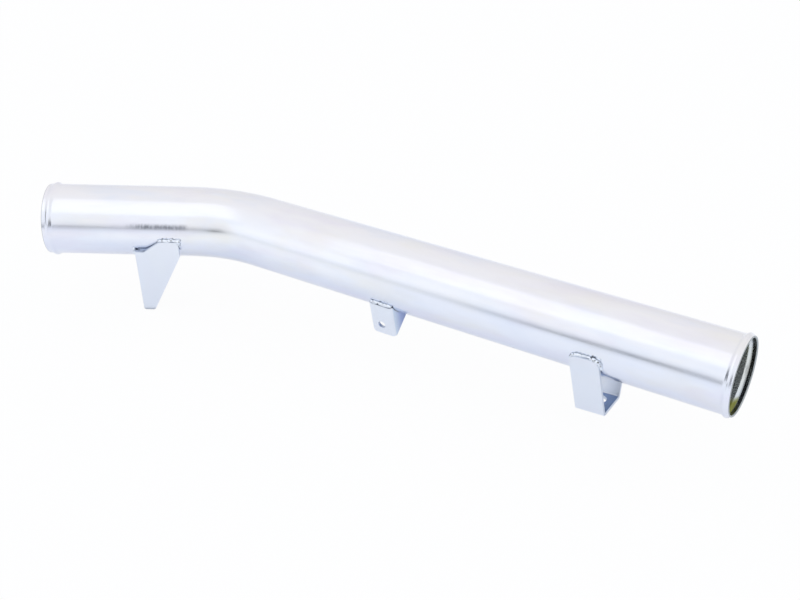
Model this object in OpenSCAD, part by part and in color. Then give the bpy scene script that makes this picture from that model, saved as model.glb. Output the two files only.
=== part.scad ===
// Coolant suction pipe: a bent steel tube with a rolled hose bead at each end,
// carried by three folded sheet brackets that are welded to its front and underside.
// Millimetres. The origin is the centre of the mouth at the end of the long run.
// +X points out of that mouth, the bend lies in the XY plane, and +Z is up.

/* [Tube] */
// Outside diameter of the tube
tube_od = 60; // [50:1:76]
// Wall of the tube
tube_wall = 1.5; // [1:0.25:2.5]
// Straight length of the long run, from its mouth to the bend
run_l = 420; // [380:5:520]
// Straight length of the short tail, from its mouth to the bend
tail_l = 122; // [110:1:200]
// Radius of the bend, to the tube's centre line
bend_r = 135; // [110:5:200]
// Angle of the bend
bend_angle = 29.5; // [15:0.5:60]

/* [Hose beads] */
// Height of the rolled bead over the tube
bead_h = 1.5; // [0.5:0.25:2.5]
// Width of the rolled bead along the tube
bead_w = 7; // [5:0.5:10]
// From the end of the tube to the middle of the bead
bead_inset = 6; // [5.5:0.5:12]

/* [Bracket sheet] */
// Thickness of the bracket sheet
sheet_t = 2.5; // [1.5:0.5:3]
// Inside radius of the folds
fold_r = 1; // [1:0.5:3]
// Gap between a bracket and the tube, before welding
weld_gap = 0.3; // [0.3:0.1:0.5]
// Radius of the weld lumps
weld_r = 2.4; // [1.8:0.2:3]

/* [Tail bracket] */
// From the tail's mouth to the bracket's left edge
tail_bracket_at = 77.4; // [60:0.2:80]
// Turn of the bracket round the tube, its lower end swinging back
tail_lean = 10; // [0:1:20]
// Width of the face along its top
tail_face_w = 39; // [36:1:42]
// Width of the tip
tail_tip_w = 10.5; // [9:0.5:14]
// Height of the face below the level of the tube's axis
tail_drop = 73.8; // [60:1:90]
// Height of the straight right edge below the same level
tail_shoulder = 14.5; // [12:0.5:20]
// Rise of the welded top edge over the same level
tail_rise = 1; // [0.5:0.5:3]
// Depth of the cut-down corner at the top left
tail_notch = 11; // [9:1:14]
// Width of the cut-down corner at its foot
tail_notch_w = 8.5; // [7:0.5:10]
// Width of the cut-down corner's slope
tail_notch_slope = 14.5; // [12:0.5:16]
// Radius of the tip's corners
tail_tip_r = 3; // [1:0.5:4]

/* [Middle bracket] */
// From the run's mouth to the bracket's right face
middle_bracket_at = 275; // [250:1:300]
// Turn of the bracket round the tube, its lower end swinging back
middle_lean = 13.7; // [0:0.1:20]
// Width of the face
middle_face_w = 20; // [18:1:26]
// How far the face stands inside the line that would just touch the tube
middle_inset = 1.5; // [1:0.25:2]
// Height of the face below the level of the tube's axis
middle_drop = 41; // [38:1:50]
// Radius of the face's free lower corner
middle_corner_r = 3; // [1:0.5:4]
// Diameter of the screw hole in the face
middle_hole_d = 6.6; // [5:0.2:8]
// From the face's free edge to the hole's centre
middle_hole_in = 8.5; // [7:0.5:10]
// From the face's lower edge up to the hole's centre
middle_hole_up = 9.5; // [8:0.5:12]

/* [Foot bracket] */
// From the run's mouth to the middle of the foot
foot_at = 108; // [80:1:140]
// Width of the strap along the tube
foot_strap_w = 23.5; // [22:0.5:30]
// Width of the foot's underside across the tube, between its sharp corners
foot_w = 30; // [28:1:40]
// From the tube's axis down to the foot's underside
foot_drop = 61.5; // [56:0.5:75]
// Slope of the foot's underside along the tube, rising towards the mouth
foot_pitch = 2.5; // [0:0.5:3]
// Length of each side above the line where it touches the tube
foot_rise = 6; // [4:0.5:8]
// Radius of the sides' upper corners
foot_corner_r = 6; // [3:0.5:8]
// Diameter of the bolt hole in the foot
foot_hole_d = 11; // [8:0.5:13]
// From the foot's middle back to the bolt hole
foot_hole_back = 3; // [0:0.5:3]

/* [Hidden] */

$fn = 96;
zinc = [0.83, 0.86, 0.92];
weld_metal = [0.74, 0.77, 0.83];

tube_r = tube_od/2;
bead_steps = 14;
corner_steps = 8;
// Bending thins the wall by this much on each side. The thinner wall also runs this many
// degrees into the straight walls, so that the three join as one solid
bend_thin = 0.2;
bend_lap = 0.5;
fold_out = fold_r + sheet_t;
// Cutting tools reach past what they cut by this much
over = 5;
touch_r = tube_r + weld_gap;

// The foot's sides lean so that each one just touches the tube's side
foot_half = foot_w/2;
foot_reach = norm([foot_half, foot_drop]);
foot_lean = asin((touch_r + sheet_t)/foot_reach) - atan(foot_half/foot_drop);
foot_side = sqrt(foot_reach^2 - (touch_r + sheet_t)^2) + foot_rise;
foot_fold_set = fold_out*tan((90 - foot_lean)/2);

// The middle bracket's face ends where its inner side meets the tube
middle_face_y = -(tube_r + sheet_t - middle_inset);
middle_top = -sqrt(touch_r^2 - (middle_face_y + sheet_t)^2);

tail_face_y = -(touch_r + sheet_t);
// A gusset flange ends on the tube's underside, this far round from the front, and keeps
// this much of its full depth at the foot, behind the fold
gusset_end = 76.5;
gusset_foot = 1.8;

// A weld bead is a row of lumps that differ in size by this share and from one to the next by this turn
lumps = 6;
lump_fn = 32;
lump_uneven = 0.1;
lump_turn = 137;
// The lumps' centres stand this far over the sheet's edge and stop this far short of its corners
weld_lift = weld_r/4;
weld_short = 3;
// The flange's tack lies along the tube's round from and to these angles below its side
tack_from = 30;
tack_to = 52;

function unit(v) = v/norm(v);

// Corner points of an outline, with a round of its own at each corner
function rounded(pts, radii) = [
    for (i = [0:len(pts) - 1])
        let (p = pts[i],
             u = unit(pts[(i + len(pts) - 1) % len(pts)] - p),
             v = unit(pts[(i + 1) % len(pts)] - p),
             half = acos(u*v)/2,
             middle = p + unit(u + v)*radii[i]/sin(half),
             first = p + u*radii[i]/tan(half) - middle,
             last = p + v*radii[i]/tan(half) - middle)
        each radii[i] == 0 ? [p]
            : [for (k = [0:corner_steps])
                middle + radii[i]*unit(first*(1 - k/corner_steps) + last*k/corner_steps)]];

// Height of the rolled bead at a distance from its middle
function swell(x) = abs(x) < bead_w/2 ? bead_h/2*(1 + cos(360*x/bead_w)) : 0;

// Line along one side of the wall, from the mouth inwards, as [radius, distance] points
function wall_line(r, length) = concat(
    [[r, 0]],
    [for (i = [0:bead_steps]) let (x = bead_w*(i/bead_steps - 1/2)) [r + swell(x), bead_inset + x]],
    [[r, length]]);

function backwards(list) = [for (i = [len(list) - 1:-1:0]) list[i]];

// Straight tube with a hose bead, its mouth at the origin and its length along -X
module beaded_tube(length)
    rotate([0, -90, 0])
        rotate_extrude()
            polygon(concat(wall_line(tube_r, length), backwards(wall_line(tube_r - tube_wall, length))));

// The tail's own frame: its end at the bend is the origin, and it runs along -X
module tail_frame()
    translate([-run_l, -bend_r, 0])
        rotate([0, 0, bend_angle])
            translate([0, bend_r, 0])
                children();

module bend()
    translate([-run_l, -bend_r, 0])
        rotate([0, 0, 90 - bend_lap])
            rotate_extrude(angle = bend_angle + 2*bend_lap)
                translate([bend_r, 0])
                    difference() {
                        circle(tube_r - bend_thin);
                        circle(tube_r - tube_wall + bend_thin);
                    }

module pipe()
    color(zinc) {
        beaded_tube(run_l);
        bend();
        tail_frame()
            translate([-tail_l, 0, 0])
                rotate([0, 0, 180])
                    beaded_tube(tail_l);
    }

// Round bar along X that stands for the tube and its gap, to cut what meets it
module tube_cut(r)
    rotate([0, 90, 0])
        cylinder(h = 2*run_l, r = r, center = true);

// One fold of the sheet, turning up, with its outer face starting at the origin along +X
module fold(angle)
    translate([0, fold_out])
        intersection() {
            difference() {
                circle(fold_out);
                circle(fold_r);
            }
            polygon(concat([[0, 0]], [for (a = [0, angle/2, angle]) 2*fold_out*[sin(a), -cos(a)]]));
        }

// Section of a folded sheet: straight legs joined by folds that all turn up
module folded_section(legs, turns, i = 0) {
    square([legs[i], sheet_t]);
    if (i < len(turns))
        translate([legs[i], 0]) {
            fold(turns[i]);
            translate([0, fold_out])
                rotate(turns[i])
                    translate([0, -fold_out])
                        folded_section(legs, turns, i + 1);
        }
}

// Angle sheet: a face in the XZ plane with its free edge at x = 0, and a flange folded back at its end
module angle_sheet(face_w, flange_w, low, high)
    translate([0, 0, low])
        linear_extrude(high - low)
            folded_section([face_w - fold_out, flange_w - fold_out], [90]);

// Prism through a face, from an outline of [x, z] points
module face_prism(outline, depth)
    rotate([90, 0, 0])
        linear_extrude(2*depth, center = true)
            polygon(outline);

// What the gusset flange gives up: all that lies behind the line from the face's foot to the tube
module gusset_cut(face_y, low, length) {
    foot = [face_y + fold_out + gusset_foot, low];
    root = touch_r*[-cos(gusset_end), -sin(gusset_end)];
    rotate([90, 0, 90])
        linear_extrude(2*length, center = true)
            polygon([foot, root, root + [0, tube_od], [tube_od, tube_r], [tube_od, low - over],
                     [foot[0], low - over]]);
}

// Face of the tail bracket, with the free right edge at x = 0 and x counted to the left
module tail_outline_prism()
    face_prism(rounded(
        [[0, tail_rise], [0, -tail_shoulder],
         [tail_face_w - tail_tip_w, -tail_drop], [tail_face_w, -tail_drop],
         [tail_face_w, tail_rise - tail_notch], [tail_face_w - tail_notch_w, tail_rise - tail_notch],
         [tail_face_w - tail_notch_w - tail_notch_slope, tail_rise]],
        [0, 2, tail_tip_r, tail_tip_r, 0, 0, 2]), tube_od);

module on_tail_bracket()
    tail_frame()
        translate([tail_bracket_at + tail_face_w - tail_l, 0, 0])
            rotate([tail_lean, 0, 0])
                mirror([1, 0, 0])
                    children();

module tail_bracket()
    color(zinc)
        on_tail_bracket()
            difference() {
                intersection() {
                    translate([0, tail_face_y, 0])
                        angle_sheet(tail_face_w, tube_r, -tail_drop, tail_rise);
                    tail_outline_prism();
                }
                tube_cut(touch_r);
                gusset_cut(tail_face_y, -tail_drop, tail_face_w);
            }

module on_middle_bracket()
    translate([-middle_bracket_at - middle_face_w, 0, 0])
        rotate([middle_lean, 0, 0])
            children();

module middle_bracket()
    color(zinc)
        on_middle_bracket()
            difference() {
                intersection() {
                    translate([0, middle_face_y, 0])
                        angle_sheet(middle_face_w, tube_r, -middle_drop, middle_top);
                    face_prism(rounded(
                        [[0, middle_top], [middle_face_w, middle_top],
                         [middle_face_w, -middle_drop], [0, -middle_drop]],
                        [0, 0, 0, middle_corner_r]), tube_od);
                }
                tube_cut(touch_r);
                gusset_cut(middle_face_y, -middle_drop, middle_face_w);
                translate([middle_hole_in, middle_face_y + sheet_t/2, middle_hole_up - middle_drop])
                    rotate([90, 0, 0])
                        cylinder(h = 2*sheet_t, d = middle_hole_d, center = true);
            }

module on_foot()
    translate([-foot_at, 0, 0])
        rotate([0, -foot_pitch, 0])
            children();

// Half of the strap: half the foot, the fold and one side, cut to its outline square to the side
module foot_half_strap() {
    half = foot_strap_w/2;
    intersection() {
        translate([0, 0, -foot_drop])
            rotate([90, 0, 90])
                linear_extrude(foot_strap_w + 2*over, center = true)
                    folded_section([foot_half - foot_fold_set, foot_side - foot_fold_set], [90 - foot_lean]);
        translate([0, foot_half, -foot_drop])
            rotate([-foot_lean, 0, 0])
                face_prism(rounded(
                    [[-half, -foot_half], [half, -foot_half], [half, foot_side], [-half, foot_side]],
                    [0, 0, foot_corner_r, foot_corner_r]), tube_od);
    }
}

module foot_bracket()
    color(zinc)
        on_foot()
            difference() {
                union() {
                    for (side = [0, 1])
                        mirror([0, side, 0])
                            foot_half_strap();
                }
                translate([0, foot_hole_back, -foot_drop + sheet_t/2])
                    cylinder(h = 2*sheet_t, d = foot_hole_d, center = true);
            }

// One weld lump of a bead, a little larger or smaller than its neighbours
module lump(i)
    sphere(weld_r*(1 + lump_uneven*sin(lump_turn*i)), $fn = lump_fn);

// Row of weld lumps from one point to another
module weld_row(from, to)
    for (i = [0:lumps - 1])
        translate(from + (to - from)*i/(lumps - 1))
            lump(i);

module tail_face_weld()
    color(weld_metal)
        on_tail_bracket()
            difference() {
                translate([0, tail_face_y + sheet_t/2, tail_rise + weld_lift])
                    weld_row([weld_short, 0, 0], [tail_face_w - tail_notch_w - tail_notch_slope, 0, 0]);
                tube_cut(tube_r);
                translate([-over, tail_face_y, -tail_drop])
                    cube([tail_face_w, tube_r, tail_drop + tail_rise]);
            }

// A short tack round the tube, on the outside of the tail bracket's flange
module tail_flange_weld()
    color(weld_metal)
        on_tail_bracket()
            difference() {
                for (i = [0:lumps - 1])
                    rotate([tack_from + (tack_to - tack_from)*i/(lumps - 1), 0, 0])
                        translate([tail_face_w + weld_lift, -tube_r - weld_lift, 0])
                            lump(i);
                tube_cut(tube_r);
                translate([0, tail_face_y, -tail_drop])
                    cube([tail_face_w, tube_od, tail_drop + tail_rise]);
            }

module middle_face_weld()
    color(weld_metal)
        on_middle_bracket()
            difference() {
                translate([0, middle_face_y + sheet_t/2, middle_top + weld_lift])
                    weld_row([weld_short, 0, 0], [middle_face_w - fold_out, 0, 0]);
                tube_cut(tube_r);
                translate([-over, middle_face_y, -middle_drop])
                    cube([middle_face_w + 2*over, tube_r, middle_drop + middle_top]);
            }

// The bead along the top of one side of the foot strap, on the front
module foot_side_weld() {
    reach = (foot_strap_w - foot_corner_r)/2 - weld_short;
    difference() {
        translate([0, -foot_half, -foot_drop])
            rotate([foot_lean, 0, 0])
                difference() {
                    translate([0, sheet_t/2, foot_side + weld_lift])
                        weld_row([-reach, 0, 0], [reach, 0, 0]);
                    translate([-foot_strap_w, 0, 0])
                        cube([2*foot_strap_w, tube_r, foot_side]);
                }
        rotate([0, foot_pitch, 0])
            tube_cut(tube_r);
    }
}

module foot_front_weld()
    color(weld_metal)
        on_foot()
            foot_side_weld();

module foot_rear_weld()
    color(weld_metal)
        on_foot()
            mirror([0, 1, 0])
                foot_side_weld();

pipe();
tail_bracket();
middle_bracket();
foot_bracket();
tail_face_weld();
tail_flange_weld();
middle_face_weld();
foot_front_weld();
foot_rear_weld();
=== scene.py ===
"""Looks of the suction pipe: a bent steel tube with rolled hose beads and three welded sheet brackets.

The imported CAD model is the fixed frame. Sizes are in millimetres, and a mesh is made in metres. The origin
is the centre of the long run's mouth, +X points out of it, the bend lies in the XY plane and +Z is up.
"""

from __future__ import annotations

import logging
import math
import random
from dataclasses import dataclass
from enum import Enum, IntEnum
from typing import Iterable, Sequence

import bmesh
import bpy
from mathutils import Matrix, Vector

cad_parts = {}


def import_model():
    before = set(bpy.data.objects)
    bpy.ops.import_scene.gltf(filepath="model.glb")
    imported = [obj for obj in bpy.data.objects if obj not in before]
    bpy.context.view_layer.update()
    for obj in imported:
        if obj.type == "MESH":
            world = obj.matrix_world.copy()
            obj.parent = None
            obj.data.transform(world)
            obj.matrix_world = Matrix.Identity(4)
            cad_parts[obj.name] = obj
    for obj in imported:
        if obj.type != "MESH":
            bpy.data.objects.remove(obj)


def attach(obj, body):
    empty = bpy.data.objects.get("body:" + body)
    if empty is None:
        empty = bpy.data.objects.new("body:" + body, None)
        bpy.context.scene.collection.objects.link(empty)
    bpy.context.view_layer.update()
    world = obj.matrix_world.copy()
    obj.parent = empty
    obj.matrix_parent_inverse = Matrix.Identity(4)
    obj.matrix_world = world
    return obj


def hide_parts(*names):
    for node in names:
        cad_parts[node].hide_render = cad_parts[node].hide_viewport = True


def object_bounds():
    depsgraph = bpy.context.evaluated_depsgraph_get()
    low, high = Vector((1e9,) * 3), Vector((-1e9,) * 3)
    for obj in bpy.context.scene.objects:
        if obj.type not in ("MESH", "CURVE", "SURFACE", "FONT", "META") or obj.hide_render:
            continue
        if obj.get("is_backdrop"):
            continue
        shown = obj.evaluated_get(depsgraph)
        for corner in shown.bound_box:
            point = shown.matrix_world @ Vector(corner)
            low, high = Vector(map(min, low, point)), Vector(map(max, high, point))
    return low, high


LOG = logging.getLogger("suction_pipe")
MM = 0.001
ROOT = "root"
# The attribute with a point's place before bending, on the straight tube or the flat sheet, in metres
BLANK = "blank"
Colour = tuple[float, float, float, float]
Stops = Sequence[tuple[float, Colour]]
Line = list[tuple[float, float]]
Corners = list[tuple[float, float, float]]
Shares = tuple[tuple[float, float], ...]
Tones = tuple[tuple[float, str], ...]
Tree = bpy.types.NodeTree
Socket = bpy.types.NodeSocket
# Settings that many nodes share
SMOOTH = {"interpolation_type": "SMOOTHSTEP"}
COLOURS = {"data_type": "RGBA"}
MULTIPLY = {"operation": "MULTIPLY"}
MULTIPLY_ADD = {"operation": "MULTIPLY_ADD"}


def linear(hex_colour: str) -> Colour:
    """Turn an sRGB hex colour to linear light.

    Args:
        hex_colour: Six hex digits, such as "E4E8F2".

    Returns:
        Red, green, blue and an alpha of 1.
    """
    channels = [int(hex_colour[i : i + 2], 16) / 255 for i in (0, 2, 4)]
    red, green, blue = (c / 12.92 if c <= 0.04045 else ((c + 0.055) / 1.055) ** 2.4 for c in channels)
    return (red, green, blue, 1.0)


def grey(level: float) -> Colour:
    """Return a plain share as a colour, for a ramp that gives numbers."""
    return (level, level, level, 1.0)


def node(
    tree: Tree,
    kind: str,
    settings: dict[str, object] | None = None,
    inputs: dict[str | int, object] | None = None,
    stops: Stops | None = None,
) -> bpy.types.Node:
    """Add a shader node with its settings and links.

    Args:
        tree: The node tree that gets the node.
        kind: The node's type, such as "ShaderNodeTexNoise".
        settings: Properties to set on the node.
        inputs: Input sockets by name or number, each with a value or an output socket to link from.
        stops: Places and colours along a colour ramp, in rising order.

    Returns:
        The new node.
    """
    new = tree.nodes.new(kind)
    for name, value in (settings or {}).items():
        setattr(new, name, value)
    for name, value in (inputs or {}).items():
        if isinstance(value, Socket):
            tree.links.new(value, new.inputs[name])
        else:
            new.inputs[name].default_value = value
    if stops:
        elements = new.color_ramp.elements
        while len(elements) < len(stops):
            elements.new(0.5)
        for element, (place, colour) in zip(elements, stops):
            element.position = place
            element.color = colour
    return new


class Grain(Enum):
    """What a plating's patterns follow."""

    BLANK = "the straight tube or flat sheet, before bending"
    CAST = "the piece as it froze"


class Finish:
    """A surface finish that builds its material once."""

    name: str

    def material(self) -> bpy.types.Material:
        """Return the finish's material, building it on first use."""
        return bpy.data.materials.get(self.name) or self._build()

    def _build(self) -> bpy.types.Material:
        """Build the finish's material."""
        raise NotImplementedError


@dataclass(frozen=True)
class ZincPlating(Finish):
    """Bright zinc with a blue passivation, electroplated over steel.

    To the eye it is a soft mirror, bluish white, with faint clouds of lilac, blue and straw where the film of
    passivation varies in thickness. The steel under it shows its fine drawing or rolling lines.
    """

    name: str
    plate: str = "F2F6FE"
    lilac: str = "E6E0F0"
    blue: str = "DDE8FA"
    straw: str = "F1EEE2"
    roughness: float = 0.22
    noise_detail: float = 3.0
    noise_roughness: float = 0.55
    # The film's clouds are about this wide, and this many times longer
    cloud_mm: float = 22.0
    cloud_stretch: float = 3.0
    cloud_share: float = 0.35
    # The noise at which a cloud begins and is full, and the shift of each tint's noise
    cloud_from: float = 0.45
    cloud_full: float = 0.75
    cloud_shifts: tuple[float, float, float] = (0.0, 7.3, 13.1)
    # Real drawing lines are finer than this, and are drawn this coarse so that they show
    line_mm: float = 0.9
    line_depth_mm: float = 0.003
    line_stretch: float = 60.0
    # The noise of the smoothest and of the roughest lines, and how much smoother or rougher they are
    line_low: float = 0.3
    line_high: float = 0.7
    line_gloss: float = 0.18
    # Painted shade: in a corner narrower than this, found by ambient occlusion, the colour turns to this dark
    # slate
    painted_shade: str = "5A667C"
    painted_shade_mm: float = 2.0
    # The openness at which a corner is darkest, and from which it is as bright as the rest
    painted_shade_shut: float = 0.2
    painted_shade_open: float = 0.62
    painted_shade_share: float = 0.6
    painted_shade_samples: int = 12
    grain: Grain = Grain.BLANK

    def _place(self, tree: Tree) -> Socket:
        """Return the place that the patterns read."""
        if self.grain is Grain.BLANK:
            return node(tree, "ShaderNodeAttribute", {"attribute_name": BLANK}).outputs["Vector"]
        return node(tree, "ShaderNodeTexCoord").outputs["Object"]

    def _noise(self, tree: Tree, place: Socket, size: float, stretch: float, shift: float = 0.0) -> Socket:
        """Noise that is longer along the tube or sheet than across it.

        Args:
            tree: The node tree.
            place: The place that it reads.
            size: Its width in millimetres.
            stretch: How many times longer than wide it is.
            shift: Moves it, so that two noises differ.

        Returns:
            The noise, from 0 to 1.
        """
        fine = 1 / (size * MM)
        scaled = {0: place, 1: (fine / stretch, fine, fine), 2: (shift, shift, shift)}
        settings = {
            "Vector": node(tree, "ShaderNodeVectorMath", MULTIPLY_ADD, scaled).outputs[0],
            "Scale": 1.0,
            "Detail": self.noise_detail,
            "Roughness": self.noise_roughness,
        }
        return node(tree, "ShaderNodeTexNoise", inputs=settings).outputs["Fac"]

    def _ground(self, tree: Tree, place: Socket) -> Socket | Colour:
        """Return the plating's colour before the clouds."""
        return linear(self.plate)

    def _spots(self, tree: Tree, place: Socket) -> tuple[Socket, str] | None:
        """Return where the finish's own spots lie and their colour, if it has any."""
        return None

    def _metal(self, tree: Tree, place: Socket) -> Socket | float:
        """Return how metallic the surface is."""
        return 1.0

    def _build(self) -> bpy.types.Material:
        """Build the plating.

        Returns:
            Its material.
        """
        made = bpy.data.materials.new(self.name)
        made.use_nodes = True
        tree = made.node_tree
        tree.nodes.clear()
        place = self._place(tree)
        colour = self._ground(tree, place)
        for tint, shift in zip((self.blue, self.lilac, self.straw), self.cloud_shifts):
            cloud = self._noise(tree, place, self.cloud_mm, self.cloud_stretch, shift)
            span = {"From Min": self.cloud_from, "From Max": self.cloud_full, "To Max": self.cloud_share}
            share = node(tree, "ShaderNodeMapRange", SMOOTH, {"Value": cloud, **span}).outputs["Result"]
            colour = node(tree, "ShaderNodeMix", COLOURS, {0: share, 6: colour, 7: linear(tint)}).outputs[2]
        spots = self._spots(tree, place)
        if spots:
            share, tone = spots
            colour = node(tree, "ShaderNodeMix", COLOURS, {0: share, 6: colour, 7: linear(tone)}).outputs[2]
        lines = self._noise(tree, place, self.line_mm, self.line_stretch)
        gloss = {
            "From Min": self.line_low,
            "From Max": self.line_high,
            "To Min": self.roughness * (1 - self.line_gloss),
            "To Max": self.roughness * (1 + self.line_gloss),
        }
        rough = node(tree, "ShaderNodeMapRange", inputs={"Value": lines, **gloss}).outputs["Result"]
        bump = node(tree, "ShaderNodeBump", inputs={"Height": lines, "Distance": self.line_depth_mm * MM})
        # Painted shade: ambient occlusion darkens the colour in corners and along the joints between parts
        samples, reach = {"samples": self.painted_shade_samples}, {"Distance": self.painted_shade_mm * MM}
        corners = {
            "Value": node(tree, "ShaderNodeAmbientOcclusion", samples, reach).outputs["AO"],
            "From Min": self.painted_shade_shut,
            "From Max": self.painted_shade_open,
            "To Min": self.painted_shade_share,
            "To Max": 0.0,
        }
        dark = node(tree, "ShaderNodeMapRange", SMOOTH, corners).outputs["Result"]
        surface = {
            "Metallic": self._metal(tree, place),
            "Base Color": node(
                tree, "ShaderNodeMix", COLOURS, {0: dark, 6: colour, 7: linear(self.painted_shade)}
            ).outputs[2],
            "Roughness": rough,
            "Normal": bump.outputs["Normal"],
        }
        shader = node(tree, "ShaderNodeBsdfPrincipled", inputs=surface)
        node(tree, "ShaderNodeOutputMaterial", inputs={"Surface": shader.outputs["BSDF"]})
        return made


@dataclass(frozen=True)
class TubePlating(ZincPlating):
    """The plating on the drawn tube.

    The colour is painted by height round the tube, as a reflection: bluer below, where the floor lies, and
    with a lilac cast on top. A row of narrow dark marks runs along the tail's front, at the height of the
    reflected dark streak.
    """

    # Painted reflection by height: these tones stand in for the floor below and the light above
    under: str = "F0F1F5"
    low: str = "ECF0FB"
    top: str = "F4F2F4"
    radius_mm: float = 30.0
    # Shares of the height at which the painted reflection tones from the underside to the top lie
    painted_tone_heights: tuple[float, ...] = (0.0, 0.08, 0.22, 0.45, 0.75, 1.0)
    # Dark marks in a row along the tail's front, at the height of the reflected dark streak
    dark_mark: str = "6E737C"
    dark_marks_from_mm: float = 484.0
    dark_marks_to_mm: float = 542.0
    dark_marks_height_mm: float = 8.0
    dark_marks_reach_mm: float = 3.6
    dark_marks_by_length: Shares = ((0, 0), (0.06, 0.35), (0.12, 0.7), (0.7, 0.8), (0.8, 0.5), (1, 0))
    # Each mark is this long along the tube, and this many times taller
    dark_mark_length_mm: float = 1.5
    dark_mark_tallness: float = 4.0
    # The noise at which a mark is faintest and full, and how dark the faintest is
    dark_marks_faint_at: float = 0.35
    dark_marks_full_at: float = 0.6
    dark_marks_faintest: float = 0.45

    def _ground(self, tree: Tree, place: Socket) -> Socket | Colour:
        """Return the colour from the underside to the top, painted by height as a reflection.

        Args:
            tree: The node tree.
            place: The place on the straight tube.

        Returns:
            The colour.
        """
        height = node(tree, "ShaderNodeSeparateXYZ", inputs={0: place}).outputs["Z"]
        span = {"Value": height, "From Min": -self.radius_mm * MM, "From Max": self.radius_mm * MM}
        share = node(tree, "ShaderNodeMapRange", inputs=span).outputs["Result"]
        tones = (self.under, self.under, self.low, self.plate, self.plate, self.top)
        stops = [(at, linear(tone)) for at, tone in zip(self.painted_tone_heights, tones)]
        return node(tree, "ShaderNodeValToRGB", inputs={"Fac": share}, stops=stops).outputs["Color"]

    def _spots(self, tree: Tree, place: Socket) -> tuple[Socket, str] | None:
        """Return the row of dark marks along the tail.

        Args:
            tree: The node tree.
            place: The place on the straight tube.

        Returns:
            Their share at the place and their colour.
        """
        split = node(tree, "ShaderNodeSeparateXYZ", inputs={0: place}).outputs
        length = {"Value": split["X"], "From Min": self.dark_marks_from_mm * MM, "From Max": self.dark_marks_to_mm * MM}
        span = node(tree, "ShaderNodeMapRange", inputs=length).outputs["Result"]
        stops = [(at, grey(share)) for at, share in self.dark_marks_by_length]
        share = node(tree, "ShaderNodeValToRGB", inputs={"Fac": span}, stops=stops).outputs["Color"]
        height = {0: split["Z"], 1: self.dark_marks_height_mm * MM}
        off = node(tree, "ShaderNodeMath", {"operation": "SUBTRACT"}, height).outputs[0]
        far = node(tree, "ShaderNodeMath", {"operation": "ABSOLUTE"}, {0: off}).outputs[0]
        reach = {"Value": far, "From Max": self.dark_marks_reach_mm * MM, "To Min": 1.0, "To Max": 0.0}
        near = node(tree, "ShaderNodeMapRange", SMOOTH, reach).outputs["Result"]
        front = node(tree, "ShaderNodeMath", {"operation": "LESS_THAN"}, {0: split["Y"], 1: 0.0}).outputs[0]
        mark_size = self.dark_mark_length_mm * self.dark_mark_tallness
        row = {
            "Value": self._noise(tree, place, mark_size, 1 / self.dark_mark_tallness),
            "From Min": self.dark_marks_faint_at,
            "From Max": self.dark_marks_full_at,
            "To Min": self.dark_marks_faintest,
        }
        marks = node(tree, "ShaderNodeMapRange", inputs=row).outputs["Result"]
        for part in (near, front, marks):
            share = node(tree, "ShaderNodeMath", MULTIPLY, {0: share, 1: part}).outputs[0]
        return share, self.dark_mark


@dataclass(frozen=True)
class BorePlating(ZincPlating):
    """The plating inside the tube, darker than the outside as painted shade inside the bore.

    The rolled groove behind the lip is darker still, as painted shade. Some yellow passivation has pooled and
    dried behind it, at the bottom of the run's mouth.
    """

    groove: str = "8D9493"
    groove_end_mm: float = 5.2
    groove_fade_mm: float = 1.0
    pool: str = "8B8F33"
    pool_start_mm: float = 3.0
    pool_end_mm: float = 14.0
    pool_top_mm: float = -25.4
    pool_fade_mm: float = 3.0
    # The dried film is cloudy rather than metallic
    pool_haze: float = 0.75

    def _ground(self, tree: Tree, place: Socket) -> Socket | Colour:
        """Return the colour from the lip inwards, with painted shade in the groove.

        Args:
            tree: The node tree.
            place: The place on the straight tube.

        Returns:
            The colour.
        """
        along = node(tree, "ShaderNodeSeparateXYZ", inputs={0: place}).outputs["X"]
        start, end = (self.groove_end_mm - self.groove_fade_mm) * MM, self.groove_end_mm * MM
        span = {"Value": along, "From Min": start, "From Max": end}
        share = node(tree, "ShaderNodeMapRange", SMOOTH, span).outputs["Result"]
        tones = {6: linear(self.groove), 7: linear(self.plate)}
        return node(tree, "ShaderNodeMix", COLOURS, {0: share, **tones}).outputs[2]

    def _pool(self, tree: Tree, place: Socket) -> Socket:
        """Return where the dried pool of passivation lies.

        Args:
            tree: The node tree.
            place: The place on the straight tube.

        Returns:
            Its share at the place.
        """
        split = node(tree, "ShaderNodeSeparateXYZ", inputs={0: place}).outputs
        inside = 1.0
        limits = (
            (split["X"], self.pool_start_mm + self.pool_fade_mm / 2, self.pool_start_mm),
            (split["X"], self.pool_end_mm - self.pool_fade_mm, self.pool_end_mm),
            (split["Z"], self.pool_top_mm - self.pool_fade_mm, self.pool_top_mm),
        )
        for measure, full, none in limits:
            span = {"Value": measure, "From Min": none * MM, "From Max": full * MM}
            share = node(tree, "ShaderNodeMapRange", SMOOTH, span).outputs["Result"]
            inside = node(tree, "ShaderNodeMath", MULTIPLY, {0: inside, 1: share}).outputs[0]
        return inside

    def _spots(self, tree: Tree, place: Socket) -> tuple[Socket, str] | None:
        """Return the dried pool."""
        return self._pool(tree, place), self.pool

    def _metal(self, tree: Tree, place: Socket) -> Socket | float:
        """Return how metallic the bore is, less so under the pool."""
        span = {"Value": self._pool(tree, place), "To Min": 1.0, "To Max": 1.0 - self.pool_haze}
        return node(tree, "ShaderNodeMapRange", inputs=span).outputs["Result"]


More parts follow.
